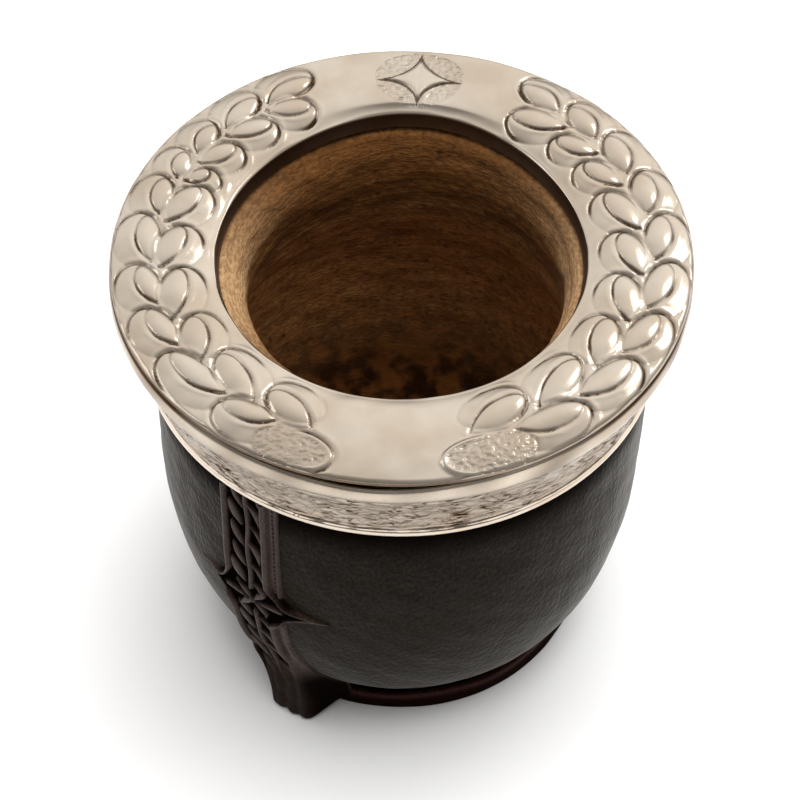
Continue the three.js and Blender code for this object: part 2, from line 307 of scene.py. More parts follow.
def silver_finish():
    finish = Finish(bpy.data.materials.new("nickel_silver"))
    cloud = finish.band(finish.noise(75, 5), 0.3, 0.7)
    brushed = finish.noise(900, 3, (1, 0.25, 1))
    strokes = 0.0
    for scale in GRAVER_SCALES:
        from_line = finish.noise(scale, 1, GRAVER_STRETCH) - 0.5
        strokes = strokes + (1 - finish.band(from_line.math("ABSOLUTE", from_line), 0.01, 0.04))
    engraved = finish.attribute("frieze") * strokes * finish.band(finish.noise(280, 1), 0.4, 0.54)
    patina = finish.attribute("patina") + engraved * GRAVER_TINT
    colour = finish.mix(patina, finish.mix(cloud, SILVER_DULL, SILVER_BRIGHT), PATINA_AND_SHADE_BROWN)
    roughness = 0.105 + cloud * 0.075 + patina * 0.35 + brushed * 0.05
    pits = finish.attribute("stipple") * finish.noise(1300, 2)
    scratched = finish.bump(pits - patina * 0.4 - engraved * 0.7, 0.6, 0.25)
    normal = finish.bump(brushed, 0.09, 0.1, scratched)
    return finish.surface(Base_Color=colour, Metallic=1.0, Roughness=roughness, Normal=normal)


silver = silver_finish()
print("finish", silver.name)

# %% [markdown]
# The top plate is a crowned ring of sheet metal. Its inner edge rolls over into a short collar. A
# silversmith chases the wreath from above with punches, so the relief is low and every leaf has a crisp
# line round it. A bump map could fake that, but it has no shaded sides from near by. Here the ring is
# turned with a fine outline, and the chasing is worked out as a height over the ring for each vertex.

# %% Plate outline
RIM_RADIUS = 52.5
PLATE_CROWN = 1.4
PLATE_SHEET = 1.0
PLATE_WIDTH = 17.3
MOUTH_RADIUS = 33.0
LIP_BEND = 37.5
LIP_DROP = 0.3
LIP_RADIUS = 34.4
COLLAR_RADIUS = 33.5
COLLAR_TOP = RIM_LEVEL - 1.1
COLLAR_FOOT = plate_low.z + 0.8
BULGE = 2.3
BULGE_ANGLE = 174
BULGE_SPREAD = 32
BULGE_FADE = 38.5
SPREAD = 0.25
RIGHT_SPREAD = 0.5
RIGHT_SPREAD_ANGLE = 125
RIGHT_SPREAD_WIDTH = 40
BACK_LIFT = 0.45
BACK_LIFT_WIDTH = 55
PLATE_STEPS = 960
PLATE_ROWS = 76


def plate_top(radius):
    """Height of the plate's upper face before chasing: crowned, and bent down towards the mouth."""
    t = (RIM_RADIUS - radius) / PLATE_WIDTH
    bend = LIP_DROP * (np.clip(LIP_BEND - radius, 0, None) / (LIP_BEND - LIP_RADIUS)) ** 2
    return RIM_LEVEL + 2 * t * (1 - t) * PLATE_CROWN + 0.3 * t - bend


def bow(start, handle, end, count):
    """Points of a quadratic curve, without its first."""
    corners = np.array([start, handle, end])
    shares = np.linspace(0, 1, count + 1)[1:]
    return [tuple(((1 - t) ** 2, 2 * t * (1 - t), t * t) @ corners) for t in shares]


def plate_outline():
    under = RIM_LEVEL - PLATE_SHEET
    edge_foot = (RIM_RADIUS - 0.5, under - 0.3)
    edge_top = (RIM_RADIUS - 0.5, RIM_LEVEL)
    lip = (LIP_RADIUS, plate_top(LIP_RADIUS))
    top_radii = np.linspace(edge_top[0], LIP_RADIUS, PLATE_ROWS)[1:]
    outline = [
        (MOUTH_RADIUS, COLLAR_FOOT),
        (MOUTH_RADIUS + PLATE_SHEET, COLLAR_FOOT),
        (MOUTH_RADIUS + PLATE_SHEET + 0.3, under - 0.8),
        (MOUTH_RADIUS + PLATE_SHEET + 1.1, under),
        (RIM_RADIUS - 1.4, under),
        edge_foot,
    ]
    outline += bow(edge_foot, (RIM_RADIUS + 0.4, RIM_LEVEL - 0.6), edge_top, 6)
    outline += [(radius, plate_top(radius)) for radius in top_radii]
    outline += bow(lip, (COLLAR_RADIUS, lip[1] - 0.1), (COLLAR_RADIUS, COLLAR_TOP), 7)
    outline += [(MOUTH_RADIUS + 0.05, COLLAR_FOOT + 0.4)]
    return outline + [outline[0]]


def hump(angle, middle, spread):
    """1 at the middle angle, in degrees, and falling to 0 on both sides."""
    off = (np.degrees(angle) - middle + 180) % 360 - 180
    return np.exp(-((off / spread) ** 2))


def bulge(angle):
    """How far the mouth stands out at the back, where the rim was hammered wider."""
    return BULGE * hump(angle, BULGE_ANGLE, BULGE_SPREAD)


def back_lift(angle):
    """How far the rim is bent up at the back."""
    return BACK_LIFT * hump(angle, 180, BACK_LIFT_WIDTH)


plate = turned(plate_outline(), PLATE_STEPS)
plate_points = points_of(plate)
plate_angle, turned_radius = polar(plate_points)
turned_height = plate_points[:, 2].copy()
over_face = turned_height - plate_top(turned_radius)
on_top = smoothstep(-0.5, -0.1, over_face) * (turned_radius > COLLAR_RADIUS + 0.3)
widened = bulge(plate_angle) * smoothstep(BULGE_FADE, LIP_RADIUS, turned_radius)
plate_points[:, :2] *= (1 + widened / turned_radius)[:, None]
plate_angle, plate_radius = polar(plate_points)
print("plate vertices", len(plate_points))

# %% [markdown]
# Each half of the wreath has an outer and an inner row of leaf pairs. A pair is a broad back leaf with a
# pointed front leaf on it, both ending at the same tip towards the star. A leaf nearer the bud laps over
# the next, so the leaves are pressed from the star end to the bud end, each wiping out what it covers.
# The hand-chased steps are uneven, so the tips are listed in degrees from the front. The chasing tool
# pushes metal aside, so a low burr runs outside each line, and its pressure comes and goes.

# %% Wreath layout
OUTER_TIPS_RIGHT = (41.3, 57.3, 71.5, 86.5, 100.5, 113.8, 126.8, 138.7, 151.5)
INNER_TIPS_RIGHT = (32.0, 50.2, 66.2, 81.3, 96.0, 110.7, 122.6, 134.0, 148.8)
OUTER_TIPS_LEFT = (41.3, 59.3, 72.7, 85.7, 100.7, 112.7, 121.8, 132.3, 145.0, 159.0)
INNER_TIPS_LEFT = (34.5, 52.3, 67.0, 83.8, 98.5, 112.8, 119.0, 130.3, 143.2, 155.5)
FIRST_OUTER = {1: 24.5, -1: 27.5}
FIRST_INNER = {1: 14.5, -1: 19.5}
# Radius at the base, radius at the tip and half width of the leaves, for the right and the left half.
OUTER_BACK = {1: (47.8, 48.5, 4.1), -1: (47.2, 48.2, 4.3)}
OUTER_FRONT = {1: (45.6, 47.5, 2.5), -1: (44.9, 46.6, 2.3)}
INNER_BACK = (41.0, 38.9, 4.2)
INNER_FRONT = (43.8, 40.2, 2.8)
FULL_STEP = 15.5
# Degrees that a back leaf reaches past its step, and a front leaf stays inside it, at base and tip.
BACK_REACH = (0.6, 0.4)
FRONT_INSET = (1.3, 0.3)
# Side of a front leaf's free edge, 1 towards the rim, and weight of the line there at the tip.
OUTER_FOLD = (1, 0.2)
INNER_FOLD = (-1, 0.7)
# Weight of the line round a back leaf at its base and tip, and along both edges of a front leaf.
BACK_LINE = (0.08, 1.0)
FREE_LINE = 0.95
JOINED_LINE = (0.05, 0.6)
LINE_TINT = 1.75
BASE_LIFT = -0.14
TIP_LIFT = 0.16
BACK_RISE = 0.5
FRONT_LIFT = 0.04
FRONT_RISE = 0.4
LINE_HALF = 0.3
TIP_LINE_HALF = 0.4
LINE_DEPTH = 0.2
BEVEL_REACH = 1.1
BEVEL_DEPTH = 0.16
BURR_PLACE = -0.85
BURR_HALF = 0.4
BURR_RISE = 0.1

relief = np.zeros(len(plate_points))
patina = np.zeros(len(plate_points))
tool_pressure = np.clip(0.74 + 0.4 * ripple(plate_points, 6, seed=6), 0.25, 1.1)


def leaf_frame(start, end):
    """Places of all plate vertices along and across a leaf from start to end, each (degrees, radius).

    Across is positive towards the plate's outer edge.
    """
    middle = (math.radians(start[0] + end[0]) / 2, (start[1] + end[1]) / 2)
    turn = (plate_angle - middle[0] + math.pi) % math.tau - math.pi
    ring, out = turn * middle[1], plate_radius - middle[1]
    run, climb = math.radians(end[0] - start[0]) * middle[1], end[1] - start[1]
    length = math.copysign(math.hypot(run, climb), run)
    return (ring * run + out * climb) / abs(length), (out * run - ring * climb) / length, abs(length) / 2


def leaf_shape(start, end, half_width, base_point):
    """Share of the way to the tip, distance inside the outline, and a dome from 0 to 1.

    The tip end is half an ellipse. base_point runs from 0, as round as the tip, to 1, pointed.
    """
    along, across, half = leaf_frame(start, end)
    run, beside = np.abs(along) / half, np.abs(across) / half_width
    run_power = np.where(along > 0, 2.1, mix(2.1, 1.8, base_point))
    beside_power = np.where(along > 0, 2.0, mix(2.0, 1.25, base_point))
    level = run**run_power + beside**beside_power
    run_steep = run_power * run ** (run_power - 1) / half
    beside_steep = beside_power * beside ** (beside_power - 1) / half_width
    depth = (1 - level) / np.maximum(np.hypot(run_steep, beside_steep), 0.05)
    local = np.clip(1 - run**run_power, 1e-4, 1) ** (1 / beside_power)
    dome = local * np.clip(1 - (beside / local) ** 2, 0, 1)
    return along / half, across, depth, dome


def draw_line(depth, weight, half_width=LINE_HALF):
    """Chases the outline of a leaf: a dark groove on it, and a soft bevel and a burr outside."""
    line = np.clip(1 - np.abs(depth) / half_width, 0, 1)
    bevel = np.where(depth > 0, 0, np.clip(1 + depth / BEVEL_REACH, 0, 1) ** 2)
    burr = np.exp(-(((depth - BURR_PLACE) / BURR_HALF) ** 2))
    relief[:] += (BURR_RISE * burr - LINE_DEPTH * line * tool_pressure - BEVEL_DEPTH * bevel) * weight
    patina[:] = np.maximum(patina, np.clip(LINE_TINT * line * weight * tool_pressure, 0, 1))


def press_back(start, end, half_width):
    """A broad leaf. Its tip stands over what lies beyond, and the line there is deep and dark."""
    run, _, depth, dome = leaf_shape(start, end, half_width, 0)
    inside = depth > 0
    relief[inside] = (mix(BASE_LIFT, TIP_LIFT, smoothstep(-1, 0.9, run)) + BACK_RISE * dome)[inside]
    patina[inside] = 0
    draw_line(depth, mix(*BACK_LINE, smoothstep(-0.2, 0.75, run)), TIP_LINE_HALF)


def press_front(start, end, half_width, fold, fold_tip):
    """A narrow leaf folded over a broad one. fold is the side, 1 or -1, of its free edge."""
    run, across, depth, dome = leaf_shape(start, end, half_width, 1)
    inside = depth > 0
    relief[inside] += (FRONT_LIFT + FRONT_RISE * dome)[inside]
    patina[depth > LINE_HALF] = 0
    free = mix(FREE_LINE, fold_tip, smoothstep(-0.3, 0.8, run))
    joined = mix(*JOINED_LINE, smoothstep(-0.1, 0.8, run))
    draw_line(depth, np.where(across * fold > 0, free, joined))


def press_pair(side, start, tip, outer):
    """One leaf pair between two angles. Short steps get narrower leaves."""
    back = OUTER_BACK[side] if outer else INNER_BACK
    front = OUTER_FRONT[side] if outer else INNER_FRONT
    size = np.clip((tip - start) / FULL_STEP, 0.5, 1) ** 0.4
    base, end, half_width = back
    before, past = BACK_REACH
    press_back((side * (start - before), base), (side * (tip + past), end), half_width * size)
    base, end, half_width = front
    after, short = FRONT_INSET
    fold = OUTER_FOLD if outer else INNER_FOLD
    press_front((side * (start + after), base), (side * (tip - short), end), half_width * size, *fold)


def press_wreath(side, outer_tips, inner_tips):
    steps = []
    for outer, tips, first in ((False, inner_tips, FIRST_INNER[side]), (True, outer_tips, FIRST_OUTER[side])):
        starts = (first, *tips[:-1])
        steps += [(start, tip, outer) for start, tip in zip(starts, tips)]
    for start, tip, outer in sorted(steps, reverse=True):
        press_pair(side, start, tip, outer)
    return len(steps)


right_pairs = press_wreath(1, OUTER_TIPS_RIGHT, INNER_TIPS_RIGHT)
left_pairs = press_wreath(-1, OUTER_TIPS_LEFT, INNER_TIPS_LEFT)
print("leaf pairs", right_pairs, "right and", left_pairs, "left")

# %% [markdown]
# At the front end each half closes in a bud with a smooth raised edge and a stippled face. Opposite, a
# four-pointed star stands on a stippled oval. The stipple is many small punch marks, so the script draws
# jittered places and presses a small dent at each.

# %% Buds, star and stipple
# Front end, far end, half width, height of the smooth edge and weight of the groove round it.
BUDS = (
    ((7.8, 48.7), (28.0, 49.2), 4.3, 0.36, 0.06),
    ((-13.6, 48.9), (-30.5, 49.3), 4.1, 0.24, 0.95),
)
BUD_LIFT = 0.05
BUD_RISE = 0.3
BUD_TINT = 0.12
BUD_EDGE_PLACE = 0.75
BUD_EDGE_HALF = 0.55
STAR_ANGLE = 175.5
STAR_RADIUS = 44.0
STAR_ACROSS = 7.9
STAR_OUT = 6.8
STAR_POWER = 0.58
STAR_RISE = 0.4
STAR_BEVEL = 1.3
STAR_LINE_DEPTH = 0.24
STAR_LINE_TINT = 1.4
OVAL_ACROSS = 8.3
OVAL_OUT = 6.9
GROUND_DEPTH = 0.12
PUNCH_STEP = 0.72
PUNCH_RADIUS = 0.36
PUNCH_DEPTH = 0.14
BUD_PUNCH_TINT = 0.12
GROUND_PUNCH_TINT = 0.14


def press_bud(start, end, half_width, edge, groove):
    """A rounded bud with a raised smooth edge at its front end. Returns the vertices of its stippled face."""
    run, _, depth, dome = leaf_shape(start, end, half_width, 0)
    inside = depth > 0
    relief[inside] = (BUD_LIFT + BUD_RISE * dome)[inside]
    patina[inside] = 0
    front = smoothstep(0.45, -0.4, run)
    relief[:] += edge * front * np.exp(-(((depth - BUD_EDGE_PLACE) / BUD_EDGE_HALF) ** 2))
    draw_line(depth, mix(0.2, groove, front))
    return depth > mix(0.3, 1.35, front)


def press_star():
    """The star on its oval. Returns the vertices of the stippled ground."""
    turn = (plate_angle - math.radians(STAR_ANGLE) + math.pi) % math.tau - math.pi
    across, out = turn * STAR_RADIUS, plate_radius - STAR_RADIUS
    x, y = np.hypot(across, 0.04) / STAR_ACROSS, np.hypot(out, 0.04) / STAR_OUT
    steep = STAR_POWER * np.hypot(x ** (STAR_POWER - 1) / STAR_ACROSS, y ** (STAR_POWER - 1) / STAR_OUT)
    depth = (1 - x**STAR_POWER - y**STAR_POWER) / steep
    inside = depth > 0
    oval = np.hypot(across / OVAL_ACROSS, out / OVAL_OUT)
    ground = (oval < 1) & (depth < -0.2)
    relief[ground] -= GROUND_DEPTH * smoothstep(1.0, 0.8, oval[ground])
    relief[inside] = STAR_RISE * (1 - (1 - np.clip(depth[inside] / STAR_BEVEL, 0, 1)) ** 2)
    line = np.clip(1 - np.abs(depth) / LINE_HALF, 0, 1) * smoothstep(1.03, 0.95, np.maximum(x, y))
    relief[:] -= STAR_LINE_DEPTH * line
    patina[:] = np.maximum(patina, np.clip(STAR_LINE_TINT * line, 0, 1))
    return ground


def punch(places, seed, tint):
    """Small dents all over the given vertices. Returns how many vertices were moved."""
    draw = np.random.default_rng(seed)
    chosen = np.flatnonzero(places)
    tree = kdtree.KDTree(len(chosen))
    for index in chosen:
        tree.insert(plate_points[index], index)
    tree.balance()
    low, high = plate_points[chosen].min(0), plate_points[chosen].max(0)
    marks = 0
    for x in np.arange(low[0], high[0], PUNCH_STEP):
        for y in np.arange(low[1], high[1], PUNCH_STEP):
            spot = Vector((x, y, high[2])) + Vector((*draw.uniform(-0.25, 0.25, 2), 0))
            strength = draw.uniform(0.5, 1.2)
            nearest = tree.find(spot)[1]
            spot.z = plate_points[nearest][2]
            for _, index, far in tree.find_range(spot, PUNCH_RADIUS * 1.6):
                dent = strength * math.exp(-((far / PUNCH_RADIUS) ** 2))
                relief[index] -= PUNCH_DEPTH * dent
                patina[index] = min(1, patina[index] + tint * dent)
                marks += 1
    return marks


buds = [press_bud(*bud) for bud in BUDS]
ground = press_star()
stipple = np.where(ground, 1.0, 0.0)
for places in buds:
    stipple[places] = 1
    patina[places] += BUD_TINT
for seed, places in enumerate(buds):
    print("punched vertices in a bud", punch(places, seed, BUD_PUNCH_TINT))
print("punched vertices round the star", punch(ground, 2, GROUND_PUNCH_TINT))

# %% [markdown]
# The sheet is never quite flat: hammering leaves a soft swell that bends the reflections. The relief and
# the swell are added only to the upper face, and fade out at the rolled edges. Use has bent the rim up
# a little at the back and spread it on the right. The collar is darkened with tarnish and painted shade,
# with a painted highlight along its foot, and the underside of the rolled edge with a painted shadow.

# %% Chased rim plate
SWELL = 0.11
SWELL_LENGTH = 17
DIMPLE = 0.03
DIMPLE_LENGTH = 6
# Tarnish and painted shade in the collar, and the share of it that a painted highlight takes off at its foot.
COLLAR_TARNISH_AND_SHADE = 0.9
COLLAR_FOOT_HIGHLIGHT = 0.35
# A painted shadow under the rolled edge, and the share of it kept on the right front.
EDGE_SHADOW = 0.85
EDGE_SHADOW_AT_RIGHT_FRONT = 0.55

fade = smoothstep(RIM_RADIUS + 0.1, RIM_RADIUS - 0.7, plate_radius)
fade *= smoothstep(LIP_RADIUS, LIP_RADIUS + 1.4, plate_radius)
plate_points[:, 2] += on_top * fade * relief
swell = SWELL * ripple(plate_points, SWELL_LENGTH, seed=4)
dimples = DIMPLE * ripple(plate_points, DIMPLE_LENGTH, seed=5)
plate_points[:, 2] += on_top * (swell + dimples)
plate_points[:, 2] += back_lift(plate_angle) * smoothstep(COLLAR_FOOT, RIM_LEVEL - 1.2, turned_height)
spread = SPREAD + RIGHT_SPREAD * hump(plate_angle, RIGHT_SPREAD_ANGLE, RIGHT_SPREAD_WIDTH)
plate_points[:, :2] *= (1 + spread * smoothstep(40, 52, turned_radius) / plate_radius)[:, None]
move_to(plate, plate_points)
# Tarnish and painted shade inside the collar, lighter where a painted highlight runs along its foot.
in_mouth = turned_radius < MOUTH_RADIUS + 0.9
collar_tarnish_and_shade = COLLAR_TARNISH_AND_SHADE * in_mouth * smoothstep(RIM_LEVEL - 0.35, RIM_LEVEL - 0.9, turned_height)
collar_tarnish_and_shade *= 1 - COLLAR_FOOT_HIGHLIGHT * smoothstep(COLLAR_FOOT + 0.5, COLLAR_FOOT + 0.3, turned_height)
# A painted shadow on the underside of the rolled edge, weaker on the right front.
rolled = (turned_radius > RIM_RADIUS - 0.7) * smoothstep(RIM_LEVEL - 0.12, RIM_LEVEL - 0.4, turned_height)
degrees = np.degrees(plate_angle)
right_front = smoothstep(10, 25, degrees) * smoothstep(100, 60, degrees)
under_edge_shadow = EDGE_SHADOW * (rolled * mix(1, EDGE_SHADOW_AT_RIGHT_FRONT, right_front))
# The chasing's patina, joined with the collar's tarnish and painted shade and the painted shadow under the
# edge.
patina = np.maximum(on_top * fade * patina, np.maximum(collar_tarnish_and_shade, under_edge_shadow))
finished(plate, "rim_plate_chased", "silver", silver, "rim_plate", 80, patina=patina, stipple=stipple)

# %% [markdown]
# Under the plate hangs the skirt: a smooth band, then a hollow engraved frieze, then a bead at its foot.
# The frieze is waving lines that cross, patches of slanted strokes, scallops at the foot and dots
# between. It is engraved, so it is a height on the turned skin again. In front the band sags a little
# away from the plate and leaves a dark gap.

# %% Skirt outline
SKIRT_FOOT = skirt_low.z
SKIRT_TOP = skirt_high.z
BAND_RADIUS = skirt_high.x
BAND_HEIGHT = 4.15
SKIRT_SHEET = 1.1
SKIRT_STEPS = 1088
FRIEZE_ROWS = 56
BEAD_TOP = SKIRT_FOOT + 1.6
BAND_FOOT = SKIRT_TOP - BAND_HEIGHT
FOOT_RADIUS = 47.7
HOLLOW = ((FOOT_RADIUS, BEAD_TOP), (48.2, 76.2), (49.0, 79.6), (50.5, 83.4), (BAND_RADIUS - 0.9, BAND_FOOT))


def skirt_outline():
    frieze = [tuple(p) for p in smooth_through(HOLLOW, FRIEZE_ROWS)]
    inner = [(radius - SKIRT_SHEET, height) for radius, height in reversed(HOLLOW)]
    foot = (inner[-1][0], SKIRT_FOOT)
    outline = [foot, (FOOT_RADIUS, SKIRT_FOOT)]
    outline += bow(outline[-1], (48.4, SKIRT_FOOT + 0.8), frieze[0], 6)
    outline += frieze[1:]
    band_low = (BAND_RADIUS - 0.25, BAND_FOOT + 0.7)
    band_high = (BAND_RADIUS - 0.2, SKIRT_TOP - 0.9)
    outline += bow(frieze[-1], (BAND_RADIUS - 0.5, BAND_FOOT), band_low, 4)
    outline += bow(band_low, (BAND_RADIUS + 0.2, SKIRT_TOP - 2.2), band_high, 6)
    outline += bow(band_high, (BAND_RADIUS - 0.3, SKIRT_TOP), (BAND_RADIUS - 1.1, SKIRT_TOP), 4)
    outline += [(BAND_RADIUS - 2, SKIRT_TOP)]
    return outline + inner + [foot]


skirt = turned(skirt_outline(), SKIRT_STEPS)
skirt_points = points_of(skirt)
skirt_angle, skirt_radius = polar(skirt_points)
print("skirt vertices", len(skirt_points))

# %% Engraved frieze and finished skirt
VINE_COUNT = 44
VINE_SWING = 1.05
FRIEZE_MIDDLE = 80.6
ENGRAVE_DEPTH = 0.34
STROKE_STEP = 2.7
BAND_LIFT = 0.25
# Angle, drop and spread of each place where the band sags.
GAPS = ((-4, 0.75, 12), (-17, 0.5, 26))
# Height over the middle, phase and swing of each waving line.
WAVES = ((1.9, 0.0, 1.0), (0.7, 0.5, 0.9), (-1.2, 2.2, 1.1), (-2.4, 2.8, 0.8), (3.4, 1.2, 0.6))
LINE_LEVELS = (BEAD_TOP + 0.4, BEAD_TOP + 1.5, BAND_FOOT - 0.5, BAND_FOOT - 1.2)
SCALLOP_DROP = 5.0
SCALLOP_RISE = 1.3
BAND_TINT = 0.33
BAND_SIDE_TINT = 0.06
BAND_CLOUD = 0.35
FRIEZE_TINT = 0.37
LINES_TINT = 0.48
DOTS_TINT = 0.2
# Painted shade under the plate's edge, at the top of the band.
UNDER_PLATE_SHADE = 0.85


def stroke(distance, half_width):
    """An engraved line: 1 on the line, 0 beyond its half width."""
    return np.clip(1 - np.abs(distance) / half_width, 0, 1)


def engraved_lines(points, angle, height):
    """Strength, 0 to 1, of the engraved lines at each vertex of the frieze."""
    total = np.zeros(len(angle))
    wander = 0.45 * np.sin(7 * angle + 1.0) + 0.3 * np.sin(13 * angle)
    pressure = 0.62 + 0.38 * ripple(points, 5, seed=41)
    for lift, phase, swing in WAVES:
        swell = VINE_COUNT * angle + phase + 1.4 * np.sin(5 * angle + lift)
        vine = FRIEZE_MIDDLE + lift + wander + swing * VINE_SWING * np.sin(swell)
        steep = np.sqrt(1 + (swing * VINE_SWING * VINE_COUNT / BAND_RADIUS * np.cos(swell)) ** 2)
        total = np.maximum(total, pressure * stroke(height - vine, 0.34 * steep))
    scallop = FRIEZE_MIDDLE - SCALLOP_DROP + SCALLOP_RISE * np.abs(np.sin(1.5 * VINE_COUNT * angle))
    total = np.maximum(total, 0.8 * pressure * stroke(height - scallop, 0.36))
    slant = angle * BAND_RADIUS + 0.8 * (height - FRIEZE_MIDDLE) * np.sign(np.sin(3 * angle + 0.6))
    nearest = (slant + STROKE_STEP / 2) % STROKE_STEP - STROKE_STEP / 2
    patch = smoothstep(0.1, 0.5, ripple(points, 9, seed=42))
    patch *= smoothstep(FRIEZE_MIDDLE - 2, FRIEZE_MIDDLE, height)
    total = np.maximum(total, pressure * patch * stroke(nearest, 0.4))
    for level in LINE_LEVELS:
        total = np.maximum(total, 0.75 * stroke(height - level, 0.36))
    return np.clip(total, 0, 1)


def stippled_ground(angle, height):
    """Rows of fine dots between the lines."""
    dots = np.sin(angle * 290) * np.sin(height * math.pi / 0.62 + 6 * np.sin(angle * 9))
    low_field = smoothstep(FRIEZE_MIDDLE + 1, FRIEZE_MIDDLE - 3, height)
    return low_field * np.clip(dots, 0, 1) ** 2


height = skirt_points[:, 2]
outside = skirt_radius > np.interp(height, [p[1] for p in HOLLOW], [p[0] for p in HOLLOW]) - 0.4
in_frieze = outside * smoothstep(BEAD_TOP, BEAD_TOP + 0.3, height)
in_frieze *= smoothstep(BAND_FOOT, BAND_FOOT - 0.3, height)
lines = in_frieze * engraved_lines(skirt_points, skirt_angle, height)
dots = in_frieze * stippled_ground(skirt_angle, height) * (1 - lines)
cut = ENGRAVE_DEPTH * (lines + 0.4 * dots) - 0.1 * in_frieze * ripple(skirt_points, 4, seed=9)
skirt_points[:, :2] *= (1 - cut / skirt_radius)[:, None]
sag = sum(drop * hump(skirt_angle, middle, spread) for middle, drop, spread in GAPS)
raised = BAND_LIFT + back_lift(skirt_angle) - sag
skirt_points[:, 2] += raised * smoothstep(BAND_FOOT - 2, SKIRT_TOP, height)
move_to(skirt, skirt_points)
sideways = np.abs(np.sin(skirt_angle))
# The band is tinted a little darker towards its left and right sides.
on_band = outside * (height > BAND_FOOT) * (BAND_TINT + BAND_SIDE_TINT * sideways)
on_band *= 1 + BAND_CLOUD * ripple(skirt_points, 11, seed=43)
# Painted shade at the top of the band, under the plate's edge, towards the sides.
at_top = smoothstep(SKIRT_TOP - 0.8, SKIRT_TOP - 0.3, height)
under_plate_shade = UNDER_PLATE_SHADE * outside * at_top * smoothstep(0.45, 0.85, sideways)
engraving = FRIEZE_TINT * in_frieze + LINES_TINT * lines + DOTS_TINT * dots
patina = np.clip(on_band + engraving + under_plate_shade, 0, 1)
finished(skirt, "rim_skirt_engraved", "silver", silver, "rim_skirt", 60, patina=patina, frieze=in_frieze)

# %% [markdown]
# The cover is one piece of black-brown leather, wetted, pulled over the gourd and dried in place. It has
# a fine closed grain, a waxed satin sheen and a slow unevenness from the gourd under it. One attribute
# carries painted shade: in the carved hollows and slots of the straps, beside their beads, on the legs
# and at their toes, under the skirt and in the groove over the sole. There the colour darkens and a dull
# shader is mixed in. Leather that hangs would need a cloth simulation. This one is stretched tight, so a
# turned outline is enough.

# %% Leather finishes
# The near-black of the painted shade.
PAINTED_SHADE_BROWN = (0.0022, 0.0013, 0.001, 1)
SHEEN_TINT = (1, 0.97, 0.92, 1)
GRAIN_STRETCH = (1, 1, 0.65)


def leather_finish(name, dark, light, roughness, grain, shine, sheen):
    finish = Finish(bpy.data.materials.new(name))
    cut = finish.attribute("cut")
    cloud = finish.noise(70, 4)
    pores = finish.node("ShaderNodeTexVoronoi", {}, {"Vector": finish.place(GRAIN_STRETCH), "Scale": 1100.0})
    fine = finish.noise(1900, 2, GRAIN_STRETCH)
    blotch = finish.band(finish.noise(260, 5), 0.45, 0.7)
    speckle = finish.band(fine, 0.3, 0.7)
    colour = finish.mix(cloud * 0.3 + speckle * 0.7, dark, light)
    colour = finish.mix(cut, colour, PAINTED_SHADE_BROWN)
    rough = roughness + cloud * 0.1 + blotch * 0.08 + cut * 0.2
    skin = finish.bump(pores + fine * 0.6, grain, 0.12)
    normal = finish.bump(finish.noise(330, 3), 0.12, 0.5, skin)
    return finish.surface(
        cut,
        Base_Color=colour,
        Roughness=rough,
        Normal=normal,
        Specular_IOR_Level=shine,
        Sheen_Weight=sheen,
        Sheen_Roughness=0.3,
        Sheen_Tint=SHEEN_TINT,
    )


cover_leather = leather_finish(
    "cover_leather",
    dark=(0.0038, 0.0027, 0.0017, 1),
    light=(0.0188, 0.0132, 0.0085, 1),
    roughness=0.42,
    grain=0.7,
    shine=0.02,
    sheen=0.28,
)
tooled_leather = leather_finish(
    "tooled_leather",
    dark=(0.018, 0.0092, 0.0064, 1),
    light=(0.056, 0.03, 0.0208, 1),
    roughness=0.34,
    grain=0.3,
    shine=0.16,
    sheen=0.02,
)
sole_leather = leather_finish(
    "sole_leather",
    dark=(0.014, 0.0046, 0.0032, 1),
    light=(0.04, 0.0112, 0.0073, 1),
    roughness=0.42,
    grain=0.3,
    shine=0.05,
    sheen=0.0,
)
print("leather finishes", cover_leather.name, tooled_leather.name, sole_leather.name)

# %% Leather cover
COVER_SHEET = 2.0
COVER_STEPS = 416
COVER_SWELL = 0.16
COVER_DENT = 0.05
SKIRT_SHADE = 0.95
COVER_OUTLINE = (
    (33.9, cover_low.z),
    (35.3, 6.1),
    (40.1, 13.4),
    (43.4, 23.4),
    (45.6, 35.4),
    (46.4, 48.4),
    (46.3, 61.4),
    (46.2, cover_high.z),
)
cover_curve = smooth_through(COVER_OUTLINE, 120)


def cover_radius(height):
    return np.interp(height, cover_curve[:, 1], cover_curve[:, 0])


cover_inside = [(radius - COVER_SHEET, level) for radius, level in cover_curve[::-8]]
cover = turned([*map(tuple, cover_curve), *cover_inside, tuple(cover_curve[0])], COVER_STEPS)
cover_points = points_of(cover)
_, radius = polar(cover_points)
level = cover_points[:, 2]
swell = COVER_SWELL * ripple(cover_points, 26, seed=12) + COVER_DENT * ripple(cover_points, 7, seed=13)
visible = smoothstep(4, 12, level) * smoothstep(72, 66, level)
cover_points[:, :2] *= (1 + visible * swell / radius)[:, None]
move_to(cover, cover_points)
# Painted shade on the top of the cover, under the skirt.
under_skirt = SKIRT_SHADE * smoothstep(61, 70.5, level)
finished(cover, "leather_cover_fitted", "leather", cover_leather, "leather_cover", cut=under_skirt)

# %% [markdown]
# The sole is a thick leather disc. Its edge was cut with a knife and burnished, so it is rounded, a
# little uneven and redder than the cover. A bevelled cylinder would do for the edge, but a turned
# outline also gives the groove where the cover stands on it.

# %% Leather sole
SOLE_RADIUS = sole_high.x
SOLE_HEIGHT = 3.3
SOLE_EDGE = 0.5
WELT_TOP = 4.7
WELT_RADIUS = SOLE_RADIUS - 0.95
BOSS_RADIUS = 31.4
SOLE_STEPS = 256
SOLE_UNEVEN = 0.12
FOOT_SHADE = 0.75

